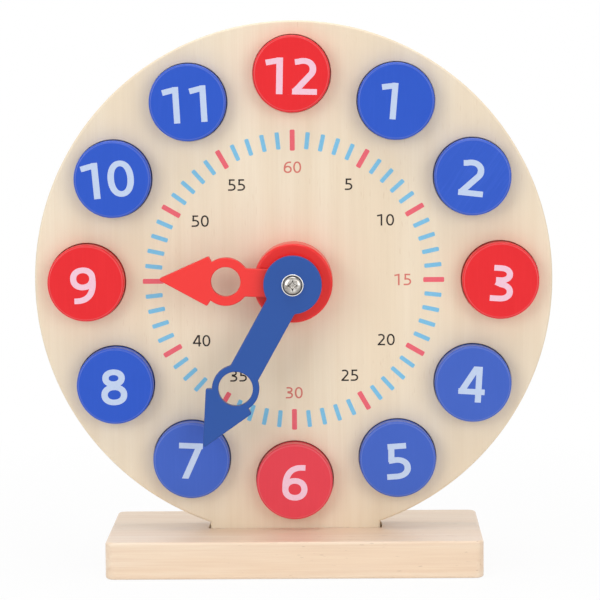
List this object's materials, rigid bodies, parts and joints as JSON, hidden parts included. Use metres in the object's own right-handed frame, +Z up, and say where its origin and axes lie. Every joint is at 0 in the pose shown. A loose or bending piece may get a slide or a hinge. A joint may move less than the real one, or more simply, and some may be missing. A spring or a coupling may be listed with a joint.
{
  "type": "geared teaching clock",
  "caption": "Wooden teaching clock: a round dial in a slotted foot, lift-out number discs, and a gear hub that turns the hour hand with the minute hand.",
  "frame": {"origin": "middle of the foot's underside", "axes": "+Z up, +X to the right of someone facing the dial, the dial faces -Y"},
  "size_m": [0.23, 0.08, 0.2428],
  "materials": {
    "foot_wood": "sanded, clear satin lacquer",
    "dial_wood": "sanded plywood face, clear satin lacquer",
    "red_paint": "painted wood, satin",
    "blue_paint": "painted wood, satin",
    "red_plastic": "moulded, satin gloss",
    "blue_plastic": "moulded, fine satin",
    "gear_plastic": "moulded, natural",
    "steel": "turned and polished"
  },
  "bodies": {
    "foot": {"base": "foot_wood"},
    "dial": {"dial_board": "dial_wood", "hub_case": "red_plastic", "gear_plate": "gear_plastic", "idler_stud": "steel", "hub_screws": "steel"},
    "minute_train": {"minute_hand": "blue_plastic", "minute_arbor": "gear_plastic", "washer": "steel", "centre_screw": "steel", "arbor_clip": "steel"},
    "idler": {"idler_wheel": "gear_plastic"},
    "hour_train": {"hour_hand": "red_plastic", "hour_wheel": "gear_plastic"},
    "disc_1": {"number_disc_1": "blue_paint"},
    "disc_2": {"number_disc_2": "blue_paint"},
    "disc_3": {"number_disc_3": "red_paint"},
    "disc_4": {"number_disc_4": "blue_paint"},
    "disc_5": {"number_disc_5": "blue_paint"},
    "disc_6": {"number_disc_6": "red_paint"},
    "disc_7": {"number_disc_7": "blue_paint"},
    "disc_8": {"number_disc_8": "blue_paint"},
    "disc_9": {"number_disc_9": "red_paint"},
    "disc_10": {"number_disc_10": "blue_paint"},
    "disc_11": {"number_disc_11": "blue_paint"},
    "disc_12": {"number_disc_12": "red_paint"}
  },
  "joints": [
    {"name": "dial_lift", "type": "slide", "parent": "foot", "child": "dial", "axis": [0, 0, 1], "range_m": [0, 0.03]},
    {"name": "minute_turn", "type": "hinge", "parent": "dial", "child": "minute_train", "pos_m": [0, -0.0052, 0.1278], "axis": [0, 1, 0], "continuous": true},
    {"name": "hour_turn", "type": "hinge", "parent": "dial", "child": "hour_train", "pos_m": [0, -0.0052, 0.1278], "axis": [0, 1, 0], "continuous": true},
    {"name": "idler_turn", "type": "hinge", "parent": "dial", "child": "idler", "pos_m": [0.008, -0.0052, 0.1278], "axis": [0, 1, 0], "continuous": true},
    {"name": "disc_1_out", "type": "slide", "parent": "dial", "child": "disc_1", "axis": [0, -1, 0], "range_m": [0, 0.009]},
    {"name": "disc_2_out", "type": "slide", "parent": "dial", "child": "disc_2", "axis": [0, -1, 0], "range_m": [0, 0.009]},
    {"name": "disc_3_out", "type": "slide", "parent": "dial", "child": "disc_3", "axis": [0, -1, 0], "range_m": [0, 0.009]},
    {"name": "disc_4_out", "type": "slide", "parent": "dial", "child": "disc_4", "axis": [0, -1, 0], "range_m": [0, 0.009]},
    {"name": "disc_5_out", "type": "slide", "parent": "dial", "child": "disc_5", "axis": [0, -1, 0], "range_m": [0, 0.009]},
    {"name": "disc_6_out", "type": "slide", "parent": "dial", "child": "disc_6", "axis": [0, -1, 0], "range_m": [0, 0.009]},
    {"name": "disc_7_out", "type": "slide", "parent": "dial", "child": "disc_7", "axis": [0, -1, 0], "range_m": [0, 0.009]},
    {"name": "disc_8_out", "type": "slide", "parent": "dial", "child": "disc_8", "axis": [0, -1, 0], "range_m": [0, 0.009]},
    {"name": "disc_9_out", "type": "slide", "parent": "dial", "child": "disc_9", "axis": [0, -1, 0], "range_m": [0, 0.009]},
    {"name": "disc_10_out", "type": "slide", "parent": "dial", "child": "disc_10", "axis": [0, -1, 0], "range_m": [0, 0.009]},
    {"name": "disc_11_out", "type": "slide", "parent": "dial", "child": "disc_11", "axis": [0, -1, 0], "range_m": [0, 0.009]},
    {"name": "disc_12_out", "type": "slide", "parent": "dial", "child": "disc_12", "axis": [0, -1, 0], "range_m": [0, 0.009]}
  ],
  "couplings": [
    {"joint": "hour_turn", "follows": "minute_turn", "ratio": 0.083333},
    {"joint": "idler_turn", "follows": "minute_turn", "ratio": -0.33333}
  ]
}
